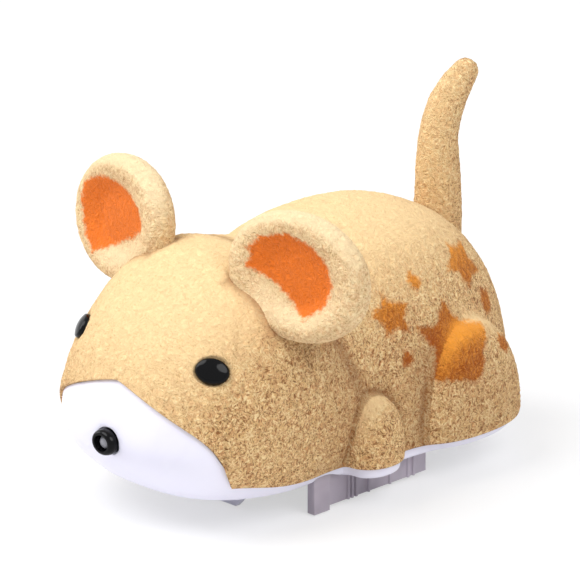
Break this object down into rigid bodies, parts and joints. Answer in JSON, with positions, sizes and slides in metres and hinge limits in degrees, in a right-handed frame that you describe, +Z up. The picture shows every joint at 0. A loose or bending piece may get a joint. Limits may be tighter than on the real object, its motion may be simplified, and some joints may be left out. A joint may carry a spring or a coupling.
{
  "type": "electric cat toy",
  "caption": "Flocked toy mouse with a white muzzle, dished ears and an upright tail, driven by two geared wheels and a rear caster under its belly.",
  "frame": {"origin": "on the ground under the middle of the toy's box", "axes": "+Z up, the nose points along -Y, +X is the mouse's left side"},
  "size_m": [0.0928, 0.1218, 0.0862],
  "materials": {
    "flock": "cream-yellow flocked pile",
    "ear_flock": "cream-yellow flocked pile with an orange inner patch",
    "white_plastic": "smooth satin white",
    "grey_plastic": "moulded grey",
    "black_gloss": "polished black",
    "lens_grey": "clear smoky window",
    "rubber": "matt black",
    "natural_nylon": "natural moulded nylon",
    "steel": "bright zinc plate",
    "brass": "turned brass",
    "board_green": "green solder mask",
    "cell_blue": "blue shrink sleeve",
    "black_plastic": "matt black"
  },
  "bodies": {
    "chassis": {"upper_shell": "flock", "left_ear": "ear_flock", "right_ear": "ear_flock", "lower_tray": "white_plastic", "front_skid": "white_plastic", "tail_bush": "white_plastic", "drive_pod": "grey_plastic", "left_eye": "black_gloss", "right_eye": "black_gloss", "nose_rim": "black_gloss", "nose_lens": "lens_grey", "nose_board": "board_green", "circuit_board": "board_green", "battery": "cell_blue", "charge_socket": "steel", "switch_body": "steel", "left_idler_pin": "steel", "left_motor_can": "steel", "left_motor_end_cap": "black_plastic", "left_gear_plate": "natural_nylon", "left_gear_cover": "natural_nylon", "left_axle_bush": "brass", "right_idler_pin": "steel", "right_motor_can": "steel", "right_motor_end_cap": "black_plastic", "right_gear_plate": "natural_nylon", "right_gear_cover": "natural_nylon", "right_axle_bush": "brass", "case_screw_left_front": "steel", "case_screw_left_rear": "steel", "case_screw_right_front": "steel", "case_screw_right_rear": "steel", "pod_screw_left_front": "steel", "pod_screw_left_rear": "steel", "pod_screw_right_front": "steel", "pod_screw_right_rear": "steel", "gearbox_screw_left_front": "steel", "gearbox_screw_left_rear": "steel", "gearbox_screw_right_front": "steel", "gearbox_screw_right_rear": "steel"},
    "left_wheel": {"left_wheel_hub": "white_plastic", "left_tyre": "rubber", "left_axle": "steel", "left_wheel_gear": "natural_nylon"},
    "left_idler": {"left_idler_gear": "natural_nylon"},
    "left_rotor": {"left_motor_shaft": "steel", "left_motor_pinion": "brass"},
    "right_wheel": {"right_wheel_hub": "white_plastic", "right_tyre": "rubber", "right_axle": "steel", "right_wheel_gear": "natural_nylon"},
    "right_idler": {"right_idler_gear": "natural_nylon"},
    "right_rotor": {"right_motor_shaft": "steel", "right_motor_pinion": "brass"},
    "caster_swivel": {"caster_fork": "grey_plastic", "caster_pin": "steel", "caster_clip": "steel"},
    "caster_roller": {"caster_wheel": "white_plastic"},
    "tail": {"tail": "flock"},
    "switch_knob": {"switch_slider": "black_plastic"}
  },
  "joints": [
    {"name": "left_wheel_spin", "type": "hinge", "parent": "chassis", "child": "left_wheel", "pos_m": [0.0135, -0.003, 0.01], "axis": [1, 0, 0], "continuous": true},
    {"name": "left_idler_spin", "type": "hinge", "parent": "chassis", "child": "left_idler", "pos_m": [0.0205, 0.003, 0.018], "axis": [1, 0, 0], "continuous": true},
    {"name": "left_rotor_spin", "type": "hinge", "parent": "chassis", "child": "left_rotor", "pos_m": [0.0205, -0.003, 0.026], "axis": [1, 0, 0], "continuous": true},
    {"name": "right_wheel_spin", "type": "hinge", "parent": "chassis", "child": "right_wheel", "pos_m": [-0.0135, -0.003, 0.01], "axis": [1, 0, 0], "continuous": true},
    {"name": "right_idler_spin", "type": "hinge", "parent": "chassis", "child": "right_idler", "pos_m": [-0.0205, 0.003, 0.018], "axis": [1, 0, 0], "continuous": true},
    {"name": "right_rotor_spin", "type": "hinge", "parent": "chassis", "child": "right_rotor", "pos_m": [-0.0205, -0.003, 0.026], "axis": [1, 0, 0], "continuous": true},
    {"name": "caster_turn", "type": "hinge", "parent": "chassis", "child": "caster_swivel", "pos_m": [0, 0.04, 0.0097], "axis": [0, 0, 1], "continuous": true},
    {"name": "caster_roll", "type": "hinge", "parent": "caster_swivel", "child": "caster_roller", "pos_m": [0, 0.043, 0.0038], "axis": [1, 0, 0], "continuous": true},
    {"name": "tail_turn", "type": "hinge", "parent": "chassis", "child": "tail", "pos_m": [0, 0.04896, 0.048], "axis": [0, 0, 1], "range_deg": [-30, 30]},
    {"name": "switch_slide", "type": "slide", "parent": "chassis", "child": "switch_knob", "axis": [0, 1, 0], "range_m": [0, 0.0025]}
  ],
  "couplings": [
    {"joint": "left_idler_spin", "follows": "left_wheel_spin", "ratio": -2.3333},
    {"joint": "left_rotor_spin", "follows": "left_wheel_spin", "ratio": 7},
    {"joint": "right_idler_spin", "follows": "right_wheel_spin", "ratio": -2.3333},
    {"joint": "right_rotor_spin", "follows": "right_wheel_spin", "ratio": 7}
  ]
}
